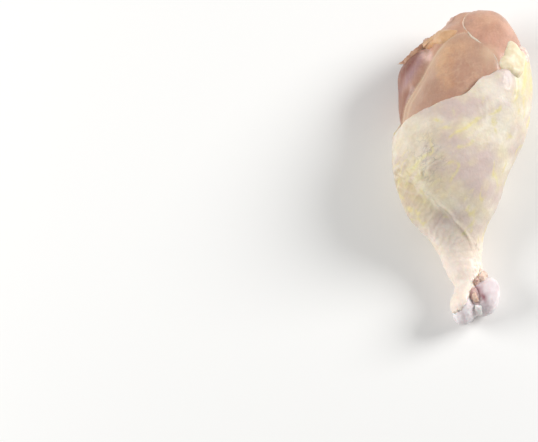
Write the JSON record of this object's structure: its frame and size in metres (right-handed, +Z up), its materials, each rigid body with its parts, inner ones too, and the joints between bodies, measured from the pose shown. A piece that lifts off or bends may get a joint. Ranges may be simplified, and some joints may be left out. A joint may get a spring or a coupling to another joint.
{
  "type": "raw chicken drumstick",
  "caption": "Raw chicken drumstick: pale skin sleeve over bundled pink muscle, cut open at the thigh end, with a knobbly bone end at the ankle.",
  "frame": {"origin": "under the middle of the bounding box, on the surface the drumstick lies on", "axes": "+Y from the ankle to the thigh end, +Z up through the skin side, +X to the right seen from the ankle"},
  "size_m": [0.063, 0.1418, 0.0438],
  "materials": {
    "meat": "moist raw muscle",
    "skin": "moist raw skin, satin",
    "cartilage": "moist joint cartilage",
    "fat_pad": "waxy raw fat",
    "fat_seam": "waxy raw fat"
  },
  "bodies": {
    "root": {"meat": "meat", "skin": "skin", "bone": "cartilage", "fat_pad": "fat_pad", "fat_seam": "fat_seam"}
  },
  "joints": []
}
